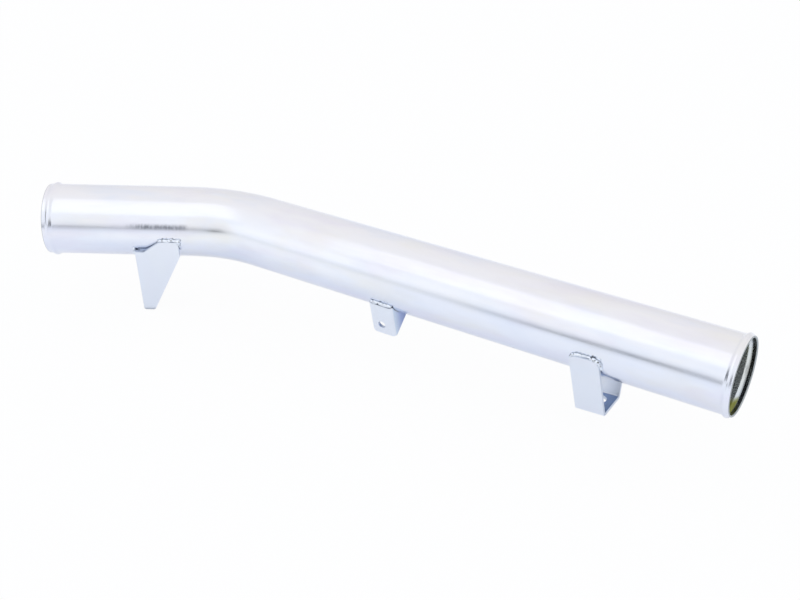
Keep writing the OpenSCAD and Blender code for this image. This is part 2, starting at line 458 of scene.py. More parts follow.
@dataclass(frozen=True)
class ShadedFlangePlating(ZincPlating):
    """The plating on a bracket's folded flange, painted with shade and a reflection of the shaded floor.

    It turns from the sheet's pale blue at the fold to a violet blue, and is darkest at the edge.
    """

    near: str = "D6E3F2"
    middle: str = "9AA8D2"
    far: str = "5D6C96"
    width_mm: float = 26.0
    # Shares of the width at which the three painted shade tones lie
    shade_places: tuple[float, float, float] = (0.1, 0.45, 1.0)

    def _ground(self, tree: Tree, place: Socket) -> Socket | Colour:
        """Return the painted shade from the fold to the flange's edge.

        Args:
            tree: The node tree.
            place: The place on the flat sheet.

        Returns:
            The colour.
        """
        across = node(tree, "ShaderNodeSeparateXYZ", inputs={0: place}).outputs["Y"]
        span = {"Value": across, "From Max": self.width_mm * MM}
        share = node(tree, "ShaderNodeMapRange", inputs=span).outputs["Result"]
        tones = (self.near, self.middle, self.far)
        stops = [(at, linear(tone)) for at, tone in zip(self.shade_places, tones)]
        return node(tree, "ShaderNodeValToRGB", inputs={"Fac": share}, stops=stops).outputs["Color"]


@dataclass(frozen=True)
class BeadPlating(ZincPlating):
    """The plating over the weld beads: bright on the drops, with dark pits where the bath did not reach."""

    pit: str = "4C535F"
    pit_mm: float = 2.0
    # The noise at which a pit begins and is darkest, and the shift of that noise
    pit_from: float = 0.58
    pit_full: float = 0.66
    pit_shift: float = 3.7

    def _spots(self, tree: Tree, place: Socket) -> tuple[Socket, str] | None:
        """Return the dark pits.

        Args:
            tree: The node tree.
            place: The place in the bead.

        Returns:
            Their share at the place and their colour.
        """
        pits = self._noise(tree, place, self.pit_mm, 1.0, self.pit_shift)
        span = {"Value": pits, "From Min": self.pit_from, "From Max": self.pit_full}
        return node(tree, "ShaderNodeMapRange", SMOOTH, span).outputs["Result"], self.pit


ZINC_TUBE = TubePlating("zinc plated drawn steel tube")
# Painted shade: the bore's plating is darker than the outside's, and its rolled groove darker still
ZINC_BORE = BorePlating("zinc plated bore", plate="E0E6E4", roughness=0.28, painted_shade_share=0.0)
ZINC_SHEET = ZincPlating(
    "zinc plated rolled steel sheet", plate="F0F5FC", roughness=0.26, cloud_share=0.12, line_depth_mm=0.0003,
    line_gloss=0.05, painted_shade_mm=6.0, painted_shade_open=0.72, painted_shade_share=0.85,
)
# Painted shade and reflection on the brackets' flanges
ZINC_FLANGE_SHADE = ShadedFlangePlating(
    "zinc plated flange with painted shade", roughness=0.26, cloud_share=0.0, line_depth_mm=0.0003, line_gloss=0.05,
    painted_shade_mm=6.0, painted_shade_open=0.7, painted_shade_share=0.85,
)
# Painted shade: the inner side of the strap's foot, under the tube, is slate blue
ZINC_FOOT_SHADE = ZincPlating(
    "zinc plated strap foot with painted shade", plate="9DB2D4", roughness=0.26, cloud_share=0.0,
    line_depth_mm=0.0003, line_gloss=0.05,
)
# Sawn and sheared edges stay rough under the plating, so they are greyer than the faces. The sawn lip's
# darker grey is also a painted reflection of the dim floor
ZINC_LIP = ZincPlating("zinc plated sawn edge", plate="B4B9BA", roughness=0.4, cloud_share=0.0)
ZINC_EDGE = ZincPlating(
    "zinc plated sheared edge", plate="D3DBE8", roughness=0.4, cloud_share=0.0, painted_shade_mm=4.0,
    painted_shade_open=0.7,
)
ZINC_BEAD = BeadPlating(
    "zinc plated weld bead", plate="ECF2FA", roughness=0.2, cloud_share=0.0, line_depth_mm=0.02,
    line_stretch=1.0, painted_shade_share=0.35, grain=Grain.CAST,
)


def mesh_object(name: str, points: Iterable[Vector], faces: Iterable[Sequence[int]]) -> bpy.types.Object:
    """Make a smooth-shaded mesh object from points in millimetres.

    Args:
        name: The piece's name.
        points: The vertices, in millimetres.
        faces: The faces, as vertex numbers.

    Returns:
        The object, linked to the scene.
    """
    mesh = bpy.data.meshes.new(name)
    mesh.from_pydata([tuple(Vector(p) * MM) for p in points], [], [tuple(f) for f in faces])
    mesh.validate()
    mesh.shade_smooth()
    made = bpy.data.objects.new(name, mesh)
    bpy.context.scene.collection.objects.link(made)
    return made


def fit(piece: bpy.types.Object, replaced: str) -> None:
    """Put a piece in a CAD node's place.

    Args:
        piece: The piece.
        replaced: The CAD node that it stands for.
    """
    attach(piece, ROOT)
    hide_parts(replaced)
    LOG.info("built %s for %s with %d faces", piece.name, replaced, len(piece.data.polygons))


def turned(degrees: float, axis: str) -> Matrix:
    """Return a turn about an axis."""
    return Matrix.Rotation(math.radians(degrees), 4, axis)


def arc(centre: Sequence[float], radius: float, start: float, end: float, steps: int) -> Line:
    """Points along an arc.

    Args:
        centre: Its centre.
        radius: Its radius.
        start: Angle of the first point, in degrees.
        end: Angle of the last point, in degrees.
        steps: How many steps it takes.

    Returns:
        The points, both ends included.
    """
    angles = [math.radians(start + (end - start) * i / steps) for i in range(steps + 1)]
    return [(centre[0] + radius * math.cos(a), centre[1] + radius * math.sin(a)) for a in angles]


def rounded(corners: Corners, steps: int = 6) -> Line:
    """Round the corners of an outline.

    Args:
        corners: Each corner's place and its radius, which may be 0.
        steps: Steps along each round.

    Returns:
        The outline's points.
    """
    outline: Line = []
    for i, (x, y, radius) in enumerate(corners):
        here = Vector((x, y))
        if radius == 0:
            outline.append((x, y))
            continue
        back = (Vector(corners[i - 1][:2]) - here).normalized()
        on = (Vector(corners[(i + 1) % len(corners)][:2]) - here).normalized()
        half = back.angle(on) / 2
        centre = here + (back + on).normalized() * radius / math.sin(half)
        first = here + back * radius / math.tan(half) - centre
        last = here + on * radius / math.tan(half) - centre
        for k in range(steps + 1):
            place = centre + first.lerp(last, k / steps).normalized() * radius
            outline.append((place.x, place.y))
    return outline


@dataclass
class BentTube:
    """The drawn steel tube, bent once, with a rolled hose bead near each mouth."""

    outside: float = 60.0
    wall: float = 1.5
    run: float = 420.0
    tail: float = 122.0
    bend_radius: float = 135.0
    bend_degrees: float = 29.5
    bead_height: float = 1.5
    bead_width: float = 7.0
    run_bead_inset: float = 3.7
    tail_bead_inset: float = 6.0
    # The groove that the roll leaves inside is narrower and shallower than the bead
    groove_height: float = 1.3
    groove_width: float = 6.4
    lip_round: float = 0.45
    # The burr inside the mouth was reamed away, which leaves a wider round
    lip_inner_round: float = 1.0
    # Bending flattens the tube a little in the plane of the bend
    flattening: float = 0.35
    segments: int = 160
    straight_step: float = 12.0
    # The bead's first ring stands more than this many rounds of the lip behind the mouth
    lip_clearance: float = 1.1
    bend_steps: int = 40
    bead_steps: int = 20
    lip_steps: int = 4

    @property
    def bend_length(self) -> float:
        """Length of the bend along the centre line."""
        return self.bend_radius * math.radians(self.bend_degrees)

    @property
    def length(self) -> float:
        """Length of the whole centre line."""
        return self.run + self.bend_length + self.tail

    def frame_at(self, along: float) -> tuple[Vector, Vector]:
        """Place on the centre line.

        Args:
            along: Distance from the run's mouth.

        Returns:
            The point, and the unit vector that points away from the bend's centre.
        """
        turn = min(max(along - self.run, 0.0), self.bend_length) / self.bend_radius
        outward = Vector((-math.sin(turn), math.cos(turn), 0.0))
        if along <= self.run:
            return Vector((-along, 0.0, 0.0)), outward
        heading = Vector((-math.cos(turn), -math.sin(turn), 0.0))
        past = max(along - self.run - self.bend_length, 0.0)
        bend_centre = Vector((-self.run, -self.bend_radius, 0.0))
        return bend_centre + outward * self.bend_radius + heading * past, outward

    def tail_frame(self) -> Matrix:
        """Return the tail's own frame: its origin is the tail's end at the bend, and it runs along -X."""
        point, _ = self.frame_at(self.run + self.bend_length)
        return Matrix.Translation(point) @ turned(self.bend_degrees, "Z")

    def _spread(self, low: float, high: float) -> list[float]:
        """Spread stations evenly from low to high, both included."""
        count = max(1, round((high - low) / self.straight_step))
        return [low + (high - low) * i / count for i in range(count + 1)]

    def _stations(self, lip: float) -> list[float]:
        """Distances from the run's mouth at which the wall gets a ring.

        Args:
            lip: Radius of the lip's round, which has rings of its own.

        Returns:
            The distances, in rising order.
        """
        offsets = [self.bead_width * (i / self.bead_steps - 0.5) for i in range(self.bead_steps + 1)]
        near = [self.run_bead_inset + off for off in offsets]
        near = [along for along in near if along > lip * self.lip_clearance]
        far = [self.length - self.tail_bead_inset + off for off in offsets]
        straight = self._spread(near[-1] + self.straight_step, self.run)
        bend = [self.run + self.bend_length * i / self.bend_steps for i in range(1, self.bend_steps)]
        tail = self._spread(self.run + self.bend_length, far[0] - self.straight_step)
        return near + straight + bend + tail + far

    def _wall_line(self, radius: float, lip: float, height: float, width: float) -> Line:
        """Line along one side of the wall.

        Args:
            radius: Radius of the straight wall.
            lip: Radius of the lip's round on this side.
            height: How far the bead stands out of it.
            width: Width of the bead.

        Returns:
            Pairs of distance along the tube and radius.
        """
        line = []
        for along in self._stations(lip):
            off = min(abs(along - self.run_bead_inset), abs(self.length - self.tail_bead_inset - along))
            swell = height / 2 * (1 + math.cos(2 * math.pi * off / width)) if off < width / 2 else 0.0
            line.append((along, radius + swell))
        return line

    def _lip(self, outer: float, inner: float) -> Line:
        """Rounded end of the wall at the run's mouth.

        Args:
            outer: The wall's outside radius.
            inner: Its inside radius.

        Returns:
            Pairs of distance along the tube and radius, from the inside to the outside.
        """
        wide, r = self.lip_inner_round, self.lip_round
        inside = arc((wide, inner + wide), wide, -90, -180, self.lip_steps)
        outside = arc((r, outer - r), r, 180, 90, self.lip_steps)
        return inside + outside

    def _ring(self, along: float, radius: float) -> list[tuple[Vector, Vector]]:
        """Points round the tube.

        Args:
            along: Distance from the run's mouth.
            radius: The ring's radius.

        Returns:
            Each point, and its place on the straight tube.
        """
        centre, outward = self.frame_at(along)
        share = min(max((along - self.run) / self.bend_length, 0.0), 1.0)
        squeeze = 1 - self.flattening * math.sin(math.pi * share) ** 2 / (self.outside / 2)
        ring = []
        for across, up in arc((0, 0), radius, 0, 360, self.segments)[:-1]:
            place = centre + outward * across * squeeze + Vector((0, 0, up))
            ring.append((place, Vector((along, across, up))))
        return ring

    def build(self) -> bpy.types.Object:
        """Build the tube as one closed wall: outside, round the tail's lip and back through the bore.

        Returns:
            The tube, with a material slot each for its outside, the tail's lip, its bore and the run's lip.
        """
        outer = self.outside / 2
        inner = outer - self.wall
        lip = self._lip(outer, inner)
        far_lip = [(self.length - s, r) for s, r in reversed(lip)]
        outside = self._wall_line(outer, self.lip_round, self.bead_height, self.bead_width)
        inside = self._wall_line(inner, self.lip_inner_round, self.groove_height, self.groove_width)[::-1]
        loop = outside + far_lip + inside + lip
        rings = [pair for along, radius in loop for pair in self._ring(along, radius)]
        n = self.segments
        faces = []
        for k in range(len(loop)):
            a, b = k * n, ((k + 1) % len(loop)) * n
            faces += [(a + i, b + i, b + (i + 1) % n, a + (i + 1) % n) for i in range(n)]
        tube = mesh_object("bent_tube", [place for place, _ in rings], faces)
        attribute = tube.data.attributes.new(BLANK, "FLOAT_VECTOR", "POINT")
        for i, (_, straight) in enumerate(rings):
            attribute.data[i].vector = straight * MM
        parts = ((outside, ZINC_TUBE), (far_lip, ZINC_LIP), (inside, ZINC_BORE), (lip, ZINC_LIP))
        start = 0
        for slot, (part, finish) in enumerate(parts):
            tube.data.materials.append(finish.material())
            for face in tube.data.polygons[start * n : (start + len(part)) * n]:
                face.material_index = slot
            start += len(part)
        return tube


class Part(IntEnum):
    """The parts of a sheet that have a finish of their own, numbered as its material slots."""

    FACE = 0
    EDGE = 1
    FOLD = 2


@dataclass
class FoldedSheet:
    """A bracket that is punched from flat sheet and folded, with every fold turning the same way.

    A point of the flat blank is (u, v): u runs across the folds and v along them. The third measure, w, goes
    through the sheet from its outer side to its inner side.
    """

    tube: BentTube
    sheet: float = 2.5
    fold_inside: float = 1.0
    gap: float = 0.3
    fold_steps: int = 8
    hole_steps: int = 40
    # The punch and the barrel leave the edges this round
    edge_round: float = 0.3
    edge_steps: int = 2
    # The finish with painted shade on the folded part, and how far it laps over the fold's end
    fold_shade_finish: ZincPlating = ZINC_FLANGE_SHADE
    finish_lap: float = 0.5

    @property
    def fold_out(self) -> float:
        """Outside radius of a fold."""
        return self.fold_inside + self.sheet

    @property
    def touch(self) -> float:
        """Radius of the round that a bracket may touch."""
        return self.tube.outside / 2 + self.gap

    def legs(self) -> list[float]:
        """Lengths of the flat parts."""
        raise NotImplementedError

    def turns(self) -> list[float]:
        """Angle of each fold, in degrees."""
        return [90.0]

    def outline(self) -> Line:
        """Outline of the flat blank."""
        raise NotImplementedError

    def holes(self) -> Corners:
        """Each hole's place on the blank and its diameter."""
        return []

    def fold_lines(self) -> list[float]:
        """Places across the blank where the mesh needs an edge to fold along.

        Returns:
            The places, in rising order.
        """
        start = self.legs()[0]
        length = (self.fold_inside + self.sheet / 2) * math.radians(self.turns()[0])
        return [start + length * i / self.fold_steps for i in range(self.fold_steps + 1)]

    def folded(self, u: float, w: float) -> tuple[float, float]:
        """Fold a point of the blank.

        Args:
            u: Its place across the folds.
            w: Its depth in the sheet.

        Returns:
            Its place on the folded section.
        """
        x, y, heading = 0.0, 0.0, 0.0
        middle = self.fold_inside + self.sheet / 2
        for leg, turn in zip(self.legs(), self.turns()):
            if u <= leg:
                break
            u -= leg
            angle = math.radians(turn)
            x += leg * math.cos(heading) - self.fold_out * math.sin(heading)
            y += leg * math.sin(heading) + self.fold_out * math.cos(heading)
            if u < middle * angle:
                a = heading + u / middle
                return x + (self.fold_out - w) * math.sin(a), y - (self.fold_out - w) * math.cos(a)
            u -= middle * angle
            heading += angle
            x += self.fold_out * math.sin(heading)
            y -= self.fold_out * math.cos(heading)
        return (
            x + u * math.cos(heading) - w * math.sin(heading),
            y + u * math.sin(heading) + w * math.cos(heading),
        )

    def place(self, u: float, v: float, w: float) -> Vector:
        """Place of a blank's point in the bracket's frame."""
        raise NotImplementedError

    def frame(self) -> Matrix:
        """The bracket's frame."""
        raise NotImplementedError

    def part_of(self, u: float, inside: bool) -> Part:
        """Return the part of the sheet's inner or outer side at this place across the folds."""
        return Part.FACE

    def _blank(self) -> bmesh.types.BMesh:
        """Cut the flat blank along its fold lines.

        Returns:
            The blank, with its holes.
        """
        flat = bmesh.new()
        loops = [self.outline()]
        loops += [arc((u, v), size / 2, 0, 360, self.hole_steps)[:-1] for u, v, size in self.holes()]
        edges = []
        for loop in loops:
            corners = [flat.verts.new((u, v, 0)) for u, v in loop]
            edges += [flat.edges.new((corners[i - 1], corners[i])) for i in range(len(corners))]
        bmesh.ops.triangle_fill(flat, use_beauty=True, edges=edges, normal=(0, 0, 1))
        for line in self.fold_lines():
            everything = flat.verts[:] + flat.edges[:] + flat.faces[:]
            bmesh.ops.bisect_plane(flat, geom=everything, plane_co=(line, 0, 0), plane_no=(1, 0, 0))
        flat.verts.index_update()
        return flat

    def build(self, name: str) -> bpy.types.Object:
        """Build the folded sheet with its rounded edges.

        Args:
            name: The piece's name.

        Returns:
            The piece, with its place on the blank in an attribute.
        """
        flat = self._blank()
        solid = bmesh.new()
        on_blank = solid.verts.layers.float_vector.new(BLANK)
        frame = self.frame()
        skins = []
        for w in (0.0, self.sheet):
            skin = []
            for corner in flat.verts:
                u, v = corner.co.x, corner.co.y
                new = solid.verts.new(frame @ self.place(u, v, w) * MM)
                new[on_blank] = Vector((v, u - self.legs()[0], w)) * MM
                skin.append(new)
            skins.append(skin)
        outer, inner = skins
        for face in flat.faces:
            loop = [corner.index for corner in face.verts]
            across = face.calc_center_median().x
            solid.faces.new([outer[i] for i in reversed(loop)]).material_index = self.part_of(across, False)
            solid.faces.new([inner[i] for i in loop]).material_index = self.part_of(across, True)
        rims = []
        for edge in flat.edges:
            if edge.is_boundary:
                a, b = (corner.index for corner in edge.verts)
                solid.faces.new((outer[a], outer[b], inner[b], inner[a])).material_index = Part.EDGE
                rims += [solid.edges.get((outer[a], outer[b])), solid.edges.get((inner[a], inner[b]))]
        bmesh.ops.recalc_face_normals(solid, faces=solid.faces[:])
        bmesh.ops.bevel(
            solid, geom=rims, offset=self.edge_round * MM, segments=self.edge_steps, profile=0.5,
            affect="EDGES", clamp_overlap=True,
        )
        mesh = bpy.data.meshes.new(name)
        solid.to_mesh(mesh)
        flat.free()
        solid.free()
        mesh.shade_smooth()
        piece = bpy.data.objects.new(name, mesh)
        bpy.context.scene.collection.objects.link(piece)
        weighted = piece.modifiers.new("flat faces stay flat", "WEIGHTED_NORMAL")
        weighted.keep_sharp = True
        # In the order of Part
        for finish in (ZINC_SHEET, ZINC_EDGE, self.fold_shade_finish):
            mesh.materials.append(finish.material())
        return piece


@dataclass
class AngleBracket(FoldedSheet):
    """A bracket with a face in front of the tube and one flange folded back under it."""

    face_width: float = 20.0
    face_y: float = -31.0
    low: float = -41.0
    fold_inside: float = 0.5
    # The flange ends on the tube's underside, this far round from the front, and is this deep at its foot
    flange_end: float = 76.5
    flange_foot: float = 0.3
    flange_steps: int = 14

    def legs(self) -> list[float]:
        """Lengths of the face and the flange."""
        return [self.face_width - self.fold_out, self.tube.outside]

    def part_of(self, u: float, inside: bool) -> Part:
        """Return the part of the sheet's inner or outer side at this place across the folds."""
        flange = self._across(self.face_y + self.fold_out)
        return Part.FOLD if u > flange - self.finish_lap else Part.FACE

    def _across(self, y: float) -> float:
        """Return the place on the blank of a flange's point that lies at this y."""
        bend = (self.fold_inside + self.sheet / 2) * math.pi / 2
        return self.legs()[0] + bend + y - self.face_y - self.fold_out

    def _flange(self, top: float) -> Corners:
        """Corners of the flange, from the bracket's foot round to the face's top.

        Args:
            top: Height of the face's top beside the fold.

        Returns:
            The corners of the blank, with no rounds.
        """
        start = math.degrees(math.asin(-top / self.touch))
        steps = self.flange_steps
        degrees = [self.flange_end + (start - self.flange_end) * i / steps for i in range(steps + 1)]
        angles = [math.radians(angle) for angle in degrees]
        edge = [(self._across(-self.touch * math.cos(a)), -self.touch * math.sin(a), 0.0) for a in angles]
        return [(self._across(self.face_y + self.fold_out + self.flange_foot), self.low, 0.0), *edge]


@dataclass
class TailBracket(AngleBracket):
    """The plate on the tail: a tapering face with a cut-down corner and a flange on its left."""

    at: float = 77.4
    lean: float = 10.0
    face_width: float = 39.0
    face_y: float = -32.8
    low: float = -73.8
    tip_width: float = 10.5
    tip_round: float = 3.0
    corner: float = 2.0
    shoulder: float = 14.5
    rise: float = 1.0
    notch: float = 11.0
    notch_width: float = 8.5
    notch_slope: float = 14.5

    def outline(self) -> Line:
        """Outline of the flat blank."""
        width, top = self.face_width, self.rise - self.notch
        return rounded(
            [
                (0, self.rise, 0),
                (0, -self.shoulder, self.corner),
                (width - self.tip_width, self.low, self.tip_round),
                *self._flange(top),
                (width - self.notch_width, top, 0),
                (width - self.notch_width - self.notch_slope, self.rise, self.corner),
            ]
        )

    def place(self, u: float, v: float, w: float) -> Vector:
        """Place of a blank's point in the bracket's frame, with the flange on the left."""
        x, y = self.folded(u, w)
        return Vector((-x, self.face_y + y, v))

    def frame(self) -> Matrix:
        """The bracket's frame, at its right edge on the tail's axis."""
        along = Matrix.Translation((self.at + self.face_width - self.tube.tail, 0, 0))
        return self.tube.tail_frame() @ along @ turned(self.lean, "X")


@dataclass
class MiddleBracket(AngleBracket):
    """The small angle on the front of the run, with a screw hole in its face."""

    at: float = 275.0
    lean: float = 13.7
    corner: float = 3.0
    # The flange's top lies this far below the face's
    flange_drop: float = 0.6
    hole: float = 6.6
    hole_in: float = 8.5
    hole_up: float = 9.5

    @property
    def top(self) -> float:
        """Height of the face's top, where its inner side meets the tube."""
        return -math.sqrt(self.touch**2 - (self.face_y + self.sheet) ** 2)

    def outline(self) -> Line:
        """Outline of the flat blank."""
        flange = self._flange(self.top - self.flange_drop)
        return rounded([(0, self.top, 0), (0, self.low, self.corner), *flange])

    def holes(self) -> Corners:
        """The screw hole."""
        return [(self.hole_in, self.low + self.hole_up, self.hole)]

    def place(self, u: float, v: float, w: float) -> Vector:
        """Place of a blank's point in the bracket's frame."""
        x, y = self.folded(u, w)
        return Vector((x, self.face_y + y, v))

    def frame(self) -> Matrix:
        """The bracket's frame, at its free left edge on the run's axis."""
        return Matrix.Translation((-self.at - self.face_width, 0, 0)) @ turned(self.lean, "X")


@dataclass
class FootBracket(FoldedSheet):
    """The strap under the run, folded to a U, with a bolt hole in its foot."""

    at: float = 108.0
    strap: float = 23.5
    width: float = 30.0
    drop: float = 61.5
    pitch: float = 2.5
    rise: float = 6.0
    corner: float = 6.0
    hole: float = 11.0
    hole_back: float = 3.0
    # Painted shade on the inner side of the foot
    fold_shade_finish: ZincPlating = ZINC_FOOT_SHADE

    @property
    def lean(self) -> float:
        """How far each side leans, in degrees, to touch the tube's side."""
        half = self.width / 2
        return math.degrees(
            math.asin((self.touch + self.sheet) / math.hypot(half, self.drop)) - math.atan(half / self.drop)
        )

    @property
    def side(self) -> float:
        """Length of a side from the foot's sharp corner to its top."""
        reach = math.hypot(self.width / 2, self.drop)
        return math.sqrt(reach**2 - (self.touch + self.sheet) ** 2) + self.rise

    def turns(self) -> list[float]:
        """Angle of the fold, in degrees."""
        return [90 - self.lean]

    def part_of(self, u: float, inside: bool) -> Part:
        """Return the part of the sheet's inner or outer side at this place across the folds."""
        return Part.FOLD if inside and abs(u) < self.legs()[0] + self.finish_lap else Part.FACE

    def legs(self) -> list[float]:
        """Lengths of half the foot and of one side."""
        set_back = self.fold_out * math.tan(math.radians(90 - self.lean) / 2)
        return [self.width / 2 - set_back, self.side - set_back]

    def fold_lines(self) -> list[float]:
        """Places across the blank where the mesh needs an edge to fold along."""
        lines = super().fold_lines()
        return [-line for line in lines] + lines

    def outline(self) -> Line:
        """Outline of the flat blank.

        Returns:
            A rectangle with round corners.
        """
        bend = (self.fold_inside + self.sheet / 2) * math.radians(self.turns()[0])
        end, half = sum(self.legs()) + bend, self.strap / 2
        corners = ((-end, -half), (end, -half), (end, half), (-end, half))
        return rounded([(u, v, self.corner) for u, v in corners])

    def holes(self) -> Corners:
        """The bolt hole."""
        return [(self.hole_back, 0.0, self.hole)]

    def place(self, u: float, v: float, w: float) -> Vector:
        """Place of a blank's point in the bracket's frame."""
        y, z = self.folded(abs(u), w)
        return Vector((v, math.copysign(y, u), z - self.drop))

    def frame(self) -> Matrix:
        """The bracket's frame, on the run's axis over the middle of the foot."""
        return Matrix.Translation((-self.at, 0, 0)) @ turned(-self.pitch, "Y")

    def side_frame(self, mirrored: bool) -> Matrix:
        """Frame of one side: X along the tube, Z up the side and Y through the sheet.

        Args:
            mirrored: Whether it is the rear side.

        Returns:
            The frame.
        """
        flip = Matrix.Scale(-1, 4, (0, 1, 0)) if mirrored else Matrix.Identity(4)
        corner = Matrix.Translation((0, -self.width / 2, -self.drop))
        return self.frame() @ flip @ corner @ turned(self.lean, "X")


@dataclass
class WeldBead:
    """A short arc weld: overlapping drops that froze one after another along the joint."""

    name: str
    replaced: str
    frame: Matrix
    # Places along the joint, each with the bead's radius there
    path: list[tuple[Vector, float]]
    # From one drop to the next
    step: float = 1.5
    unevenness: float = 0.22
    wander: float = 0.35
    # How much of its height the flattest drop keeps
    flattest: float = 0.75
    drop_detail: int = 3
    seed: int = 1
    voxel: float = 0.28
    smoothing: int = 3

    def _drops(self) -> list[tuple[Vector, float]]:
        """Lay the drops along the path.

        Returns:
            Each drop's place and radius.
        """
        drops = []
        for (start, thick), (end, thin) in zip(self.path, self.path[1:]):
            count = max(1, round((end - start).length / self.step))
            drops += [(start.lerp(end, i / count), thick + (thin - thick) * i / count) for i in range(count)]
        return [*drops, self.path[-1]]

    def build(self) -> bpy.types.Object:
        """Build the bead as one skin over its drops.

        Returns:
            The bead.
        """
        chance = random.Random(self.seed)
        lumps = bmesh.new()
        for drop, radius in self._drops():
            size = radius * (1 + self.unevenness * chance.uniform(-1, 1))
            off = Vector([self.wander * chance.uniform(-1, 1) for _ in range(3)])
            flat = Matrix.Diagonal((1, 1, chance.uniform(self.flattest, 1.0), 1))
            spot = Matrix.Translation(self.frame @ (drop + off) * MM) @ flat
            detail = self.drop_detail
            bmesh.ops.create_icosphere(lumps, subdivisions=detail, radius=size * MM, matrix=spot)
        mesh = bpy.data.meshes.new(self.name + "_drops")
        lumps.to_mesh(mesh)
        lumps.free()
        rough = bpy.data.objects.new(self.name + "_drops", mesh)
        bpy.context.scene.collection.objects.link(rough)
        skin = rough.modifiers.new("one skin", "REMESH")
        skin.mode = "VOXEL"
        skin.voxel_size = self.voxel * MM
        flow = rough.modifiers.new("flowed", "SMOOTH")
        flow.iterations = self.smoothing
        whole = bpy.data.meshes.new_from_object(rough.evaluated_get(bpy.context.evaluated_depsgraph_get()))
        bpy.data.objects.remove(rough)
        whole.name = self.name
        whole.shade_smooth()
        whole.materials.clear()
        whole.materials.append(ZINC_BEAD.material())
        bead = bpy.data.objects.new(self.name, whole)
        bpy.context.scene.collection.objects.link(bead)
        return bead


@dataclass
class Welds:
    """The five beads that hold the brackets.

    Each path is a few places with the bead's radius there, laid over the joint's edge.
    """

    tail: TailBracket
    middle: MiddleBracket
    foot: FootBracket

    def _tail_beads(self) -> list[WeldBead]:
        """The tail bracket's beads.

        Returns:
            The bead along the face's top and down its right edge, and the tack round the tube.
        """
        frame, back = self.tail.frame(), self.tail.face_y + self.tail.sheet - 0.8
        top = self.tail.rise + 0.6
        slope = self.tail.face_width - self.tail.notch_width - self.tail.notch_slope
        path = [
            (Vector((0.2, back + 0.2, top - 5.5)), 1.5),
            (Vector((-0.3, back, top - 0.8)), 2.0),
            (Vector((-slope * 0.3, back, top)), 1.7),
            (Vector((-slope * 0.75, back, top)), 1.9),
            (Vector((-slope - 1, back + 0.4, top - 0.6)), 1.5),
        ]
        ring = self.tail.tube.outside / 2 + 0.4
        side = -self.tail.face_width - 0.3
        tack = [
            (Vector((side, -ring * math.cos(math.radians(a)), -ring * math.sin(math.radians(a)))), radius)
            for a, radius in ((15, 1.5), (21, 1.9), (28, 1.8), (36, 1.6), (44, 1.5))
        ]
        return [
            WeldBead("tail_face_bead", "tail_face_weld", frame, path, seed=4),
            WeldBead("tail_flange_tack", "tail_flange_weld", frame, tack, seed=7),
        ]

    def _middle_bead(self) -> WeldBead:
        """The middle bracket's bead.

        Returns:
            The bead along the face's top, smooth and flat.
        """
        back, top = self.middle.face_y + self.middle.sheet - 0.9, self.middle.top + 0.8
        end = self.middle.legs()[0]
        places = ((0.8, top - 0.2), (end / 2, top), (end + 1, top - 0.2))
        path = [(Vector((along, back, height)), 1.75) for along, height in places]
        frame = self.middle.frame()
        return WeldBead(
            "middle_face_bead", "middle_face_weld", frame, path, unevenness=0.1, wander=0.15, seed=3
        )

    def _foot_bead(self, mirrored: bool) -> WeldBead:
        """The bead over the top of one side of the strap, heavier at its corners.

        Args:
            mirrored: Whether it is the rear side.

        Returns:
            The bead.
        """
        side, half, depth = self.foot.side + 0.3, self.foot.strap / 2, self.foot.sheet - 0.6
        path = [
            (Vector((-half + 0.3, depth, side - 5.5)), 1.5),
            (Vector((-half + 1.9, depth, side - 1.6)), 2.1),
            (Vector((-half + 5.0, depth + 0.2, side - 0.2)), 1.7),
            (Vector((-half + 9.0, depth + 0.4, side)), 1.4),
            (Vector((half - 8.0, depth + 0.4, side)), 1.4),
            (Vector((half - 4.5, depth + 0.1, side - 0.4)), 1.9),
            (Vector((half - 1.6, depth, side - 2.2)), 1.7),
            (Vector((half + 0.4, depth, side - 5.0)), 2.1),
            (Vector((half + 0.6, depth + 0.4, side - 8.5)), 1.8),
        ]
        where = "rear" if mirrored else "front"
        return WeldBead(
            f"foot_{where}_bead", f"foot_{where}_weld", self.foot.side_frame(mirrored), path, seed=11
        )

    def build(self) -> None:
        """Build the five beads."""
        for bead in [*self._tail_beads(), self._middle_bead(), self._foot_bead(False), self._foot_bead(True)]:
            fit(bead.build(), bead.replaced)


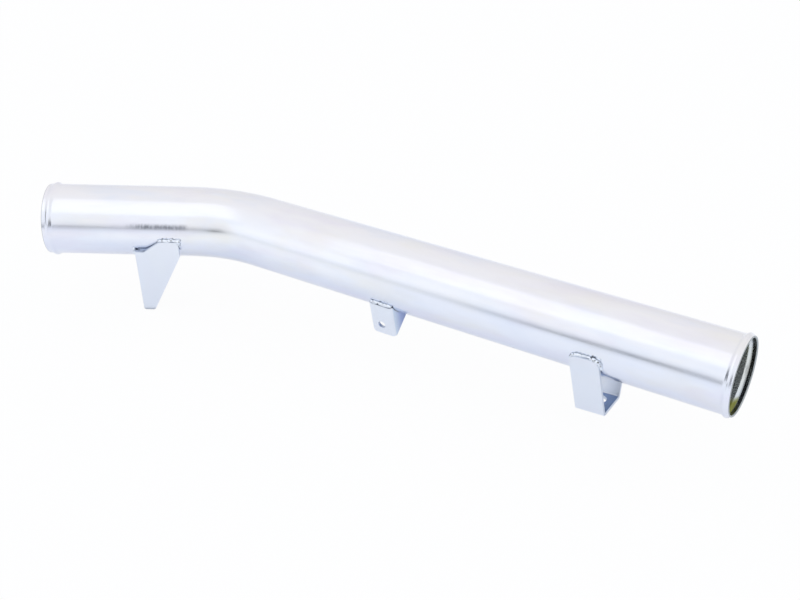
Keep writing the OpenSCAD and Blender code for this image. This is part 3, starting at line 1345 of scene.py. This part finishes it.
@dataclass
class Studio:
    """White sweep, soft light and the camera of the photograph."""

    camera_place: tuple[float, float, float] = (166.04, -739.31, 473.54)
    camera_aim: tuple[float, float, float] = (-260.75, -37.05, 0.0)
    camera_roll_degrees: float = 0.518
    lens: float = 55.03
    sensor: float = 36.0
    floor_size: float = 7000.0
    # The middle of the object, which the studio's darker far end is seen from
    centre: tuple[float, float, float] = (-300.0, 0.0, 0.0)
    # How much of the floor's white is its own, so that the object's shadow stays faint
    glow_in_view: float = 0.94
    glow_reflected: float = 0.2
    glow_at_left: float = 0.6
    far_end: str = "20252F"
    paper: str = "F6F9FF"
    # Brightness of the studio by height over the horizon, in front of the object and behind it
    front: Tones = ((0.5, "F2F5FB"), (0.57, "FAFBFF"), (0.69, "FDFDFF"), (0.85, "F9FAFD"), (1.0, "F6F7FB"))
    behind: Tones = ((0.5, "EAECF2"), (0.62, "ECEEF3"), (0.75, "F2F3F7"), (0.88, "F6F7FA"), (1.0, "F8F9FC"))
    # The unlit far end: its share of a direction by height, and by the angle from straight ahead in degrees
    dark_by_height: Shares = (
        (-0.22, 0), (-0.118, 0.15), (-0.072, 0.45), (-0.05, 1), (0.032, 1), (0.06, 0.45), (0.1, 0.2),
        (0.17, 0.07), (0.25, 0),
    )
    dark_by_azimuth: Shares = (
        (-60, 0), (-46, 0.14), (-40, 0.17), (-36, 0.14), (-32, 0.1), (-29, 0.12), (-27.4, 0.15),
        (-22, 0.25), (-19.4, 0.36), (-16, 0.58), (-13, 1), (-8, 0.9), (-2, 0.43), (9, 0.39), (13, 0.52),
        (15, 0.62), (18, 0.48), (24, 0.2), (35, 0.1), (46, 0.1), (60, 0),
    )
    # Dark stands at both sides, which only a bead's flanks and the weld drops reflect
    stands_by_height: Shares = ((-0.1, 0), (-0.04, 1), (0.13, 1), (0.3, 0))
    stands_by_azimuth: Shares = (
        (-88, 0), (-80, 0.9), (-56, 0.9), (-48, 0), (46, 0), (54, 0.9), (80, 0.9), (88, 0),
    )
    # The white wall at the left is lit a little brighter than the rest
    bright_by_height: Shares = ((-0.6, 0), (-0.35, 1), (0.3, 1), (0.5, 0.3), (0.8, 0))
    bright_by_azimuth: Shares = ((-60, 0), (-42, 1), (-31, 1), (-26, 0.55), (-20, 0))
    bright_extra: float = 0.1
    # Where the walls behind the object take over from those in front, as a direction's Y
    behind_from: float = -0.2
    behind_full: float = 0.3
    lamp_size: tuple[float, float] = (1.9, 1.2)
    lamp_place: tuple[float, float, float] = (-0.3, -0.75, 1.4)
    lamp_brightness: float = 0.18

    def place_camera(self) -> None:
        """Create the camera and make it the scene's."""
        place, aim = Vector(self.camera_place) * MM, Vector(self.camera_aim) * MM
        data = bpy.data.cameras.new("photograph_camera")
        data.lens = self.lens
        data.sensor_width = self.sensor
        camera = bpy.data.objects.new("photograph_camera", data)
        aimed = (aim - place).to_track_quat("-Z", "Y").to_matrix().to_4x4()
        camera.matrix_world = Matrix.Translation(place) @ aimed @ turned(self.camera_roll_degrees, "Z")
        bpy.context.scene.collection.objects.link(camera)
        bpy.context.scene.camera = camera

    def _azimuth(self, tree: Tree, direction: Socket) -> Socket:
        """A direction's angle from straight ahead.

        Args:
            tree: The node tree.
            direction: The unit direction.

        Returns:
            The angle, from -90 to 90 degrees, as a share from 0 to 1.
        """
        split = node(tree, "ShaderNodeSeparateXYZ", inputs={0: direction})
        ahead = node(tree, "ShaderNodeMath", MULTIPLY, {0: split.outputs["Y"], 1: -1.0}).outputs[0]
        sides = {0: split.outputs["X"], 1: ahead}
        angle = node(tree, "ShaderNodeMath", {"operation": "ARCTAN2"}, sides).outputs[0]
        return node(
            tree,
            "ShaderNodeMapRange",
            inputs={"Value": angle, "From Min": -math.pi / 2, "From Max": math.pi / 2},
        ).outputs["Result"]

    def _height(self, tree: Tree, direction: Socket) -> Socket:
        """Return a direction's height, from -1 to 1, as a share from 0 to 1."""
        height = node(tree, "ShaderNodeSeparateXYZ", inputs={0: direction}).outputs["Z"]
        return node(tree, "ShaderNodeMapRange", inputs={"Value": height, "From Min": -1.0}).outputs["Result"]

    def _share(self, tree: Tree, direction: Socket, by_height: Shares, by_azimuth: Shares) -> Socket:
        """Return how much a part of the studio fills a direction.

        Args:
            tree: The node tree.
            direction: The unit direction, as seen from the object.
            by_height: Shares over the direction's height, from -1 to 1.
            by_azimuth: Shares over the angle from straight ahead, in degrees.

        Returns:
            The product of the two.
        """
        level = node(
            tree,
            "ShaderNodeValToRGB",
            inputs={"Fac": self._height(tree, direction)},
            stops=[((at + 1) / 2, grey(share)) for at, share in by_height],
        ).outputs["Color"]
        side = node(
            tree,
            "ShaderNodeValToRGB",
            inputs={"Fac": self._azimuth(tree, direction)},
            stops=[(at / 180 + 0.5, grey(share)) for at, share in by_azimuth],
        ).outputs["Color"]
        return node(tree, "ShaderNodeMath", MULTIPLY, {0: level, 1: side}).outputs[0]

    def _dark(self, tree: Tree, direction: Socket) -> Socket:
        """How dark the studio is in a direction.

        Args:
            tree: The node tree.
            direction: The unit direction.

        Returns:
            The share of the dark far end or the stands, whichever is more.
        """
        far_end = self._share(tree, direction, self.dark_by_height, self.dark_by_azimuth)
        stands = self._share(tree, direction, self.stands_by_height, self.stands_by_azimuth)
        return node(tree, "ShaderNodeMath", {"operation": "MAXIMUM"}, {0: far_end, 1: stands}).outputs[0]

    def light_world(self) -> None:
        """Light the scene from a white studio whose far end, level with the object, is darker."""
        world = bpy.data.worlds.new("white studio")
        bpy.context.scene.world = world
        world.use_nodes = True
        tree = world.node_tree
        tree.nodes.clear()
        direction = node(tree, "ShaderNodeTexCoord").outputs["Generated"]
        split = node(tree, "ShaderNodeSeparateXYZ", inputs={0: direction})
        walls = []
        for tones in (self.front, self.behind):
            stops = [(at, linear(tone)) for at, tone in tones]
            height = {"Fac": self._height(tree, direction)}
            walls.append(node(tree, "ShaderNodeValToRGB", inputs=height, stops=stops).outputs["Color"])
        back = node(
            tree,
            "ShaderNodeMapRange",
            SMOOTH,
            {"Value": split.outputs["Y"], "From Min": self.behind_from, "From Max": self.behind_full},
        ).outputs["Result"]
        white_walls = node(tree, "ShaderNodeMix", COLOURS, {0: back, 6: walls[0], 7: walls[1]})
        dark = self._dark(tree, direction)
        bright = self._share(tree, direction, self.bright_by_height, self.bright_by_azimuth)
        strength = node(
            tree, "ShaderNodeMath", MULTIPLY_ADD, {0: bright, 1: self.bright_extra, 2: 1.0}
        ).outputs[0]
        lit = node(
            tree, "ShaderNodeMix", COLOURS, {0: dark, 6: white_walls.outputs[2], 7: linear(self.far_end)}
        ).outputs[2]
        studio = node(tree, "ShaderNodeBackground", inputs={"Color": lit, "Strength": strength})
        white = node(tree, "ShaderNodeBackground", inputs={"Color": linear("FFFFFF")})
        seen = node(tree, "ShaderNodeLightPath").outputs["Is Camera Ray"]
        mix = node(tree, "ShaderNodeMixShader", inputs={0: seen, 1: studio.outputs[0], 2: white.outputs[0]})
        node(tree, "ShaderNodeOutputWorld", inputs={"Surface": mix.outputs[0]})

    def lay_floor(self, height: float) -> None:
        """Lay a white paper floor that keeps the object's shadow.

        In a reflection it goes dark towards the studio's far end and is brighter at the left.

        Args:
            height: Height of the floor, in metres.
        """
        half = self.floor_size / 2
        corners = ((-half, -half), (half, -half), (half, half), (-half, half))
        floor = mesh_object("floor", [Vector((x, y, height / MM)) for x, y in corners], [(0, 1, 2, 3)])
        made = bpy.data.materials.new("white paper studio floor")
        made.use_nodes = True
        tree = made.node_tree
        tree.nodes.clear()
        rays = node(tree, "ShaderNodeLightPath").outputs
        bounced = {0: rays["Is Glossy Ray"], 1: rays["Is Transmission Ray"]}
        reflected = node(tree, "ShaderNodeMath", {"operation": "MAXIMUM"}, bounced).outputs[0]
        place = node(tree, "ShaderNodeNewGeometry").outputs["Position"]
        off = node(
            tree, "ShaderNodeVectorMath", {"operation": "SUBTRACT"}, {0: place, 1: Vector(self.centre) * MM}
        ).outputs[0]
        direction = node(tree, "ShaderNodeVectorMath", {"operation": "NORMALIZE"}, {0: off}).outputs[0]
        bright = self._share(tree, direction, self.bright_by_height, self.bright_by_azimuth)
        mirrored_glow = node(
            tree, "ShaderNodeMath", MULTIPLY_ADD, {0: bright, 1: self.glow_at_left, 2: self.glow_reflected},
        ).outputs[0]
        mirrored = node(tree, "ShaderNodeMath", MULTIPLY, {0: mirrored_glow, 1: reflected}).outputs[0]
        glow_share = node(
            tree,
            "ShaderNodeMath",
            MULTIPLY_ADD,
            {0: rays["Is Camera Ray"], 1: self.glow_in_view, 2: mirrored},
        ).outputs[0]
        matt = node(tree, "ShaderNodeBsdfDiffuse", inputs={"Color": linear(self.paper)})
        white = node(tree, "ShaderNodeEmission", inputs={"Color": linear("FFFFFF")})
        paper = node(
            tree, "ShaderNodeMixShader", inputs={0: glow_share, 1: matt.outputs[0], 2: white.outputs[0]}
        ).outputs[0]
        dark = node(
            tree, "ShaderNodeMath", MULTIPLY, {0: self._dark(tree, direction), 1: reflected}
        ).outputs[0]
        unlit = node(tree, "ShaderNodeEmission", inputs={"Color": linear(self.far_end)})
        mix = node(tree, "ShaderNodeMixShader", inputs={0: dark, 1: paper, 2: unlit.outputs[0]})
        node(tree, "ShaderNodeOutputMaterial", inputs={"Surface": mix.outputs[0]})
        floor.data.materials.append(made)
        floor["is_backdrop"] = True

    def hang_lamp(self) -> None:
        """Hang one broad, dim softbox over the object, a little in front of it."""
        data = bpy.data.lights.new("softbox", "AREA")
        data.shape = "RECTANGLE"
        data.size, data.size_y = self.lamp_size
        data.energy = self.lamp_brightness * math.pi * data.size * data.size_y
        lamp = bpy.data.objects.new("softbox", data)
        lamp.location = self.lamp_place
        aim = Vector(self.centre) * MM - Vector(self.lamp_place)
        lamp.rotation_euler = aim.to_track_quat("-Z", "Y").to_euler()
        bpy.context.scene.collection.objects.link(lamp)


def main() -> None:
    """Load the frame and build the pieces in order."""
    logging.basicConfig(level=logging.INFO, format="%(name)s: %(message)s")
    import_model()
    cad_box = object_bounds()
    bpy.context.scene.view_settings.view_transform = "Standard"

    studio = Studio()
    studio.place_camera()
    studio.light_world()
    studio.lay_floor(cad_box[0][2])
    studio.hang_lamp()

    tube = BentTube()
    fit(tube.build(), "pipe")
    tail, middle, foot = TailBracket(tube), MiddleBracket(tube), FootBracket(tube)
    fit(tail.build("tail_bracket_sheet"), "tail_bracket")
    fit(middle.build("middle_bracket_sheet"), "middle_bracket")
    fit(foot.build("foot_bracket_strap"), "foot_bracket")
    Welds(tail, middle, foot).build()


if __name__ == "__main__":
    main()
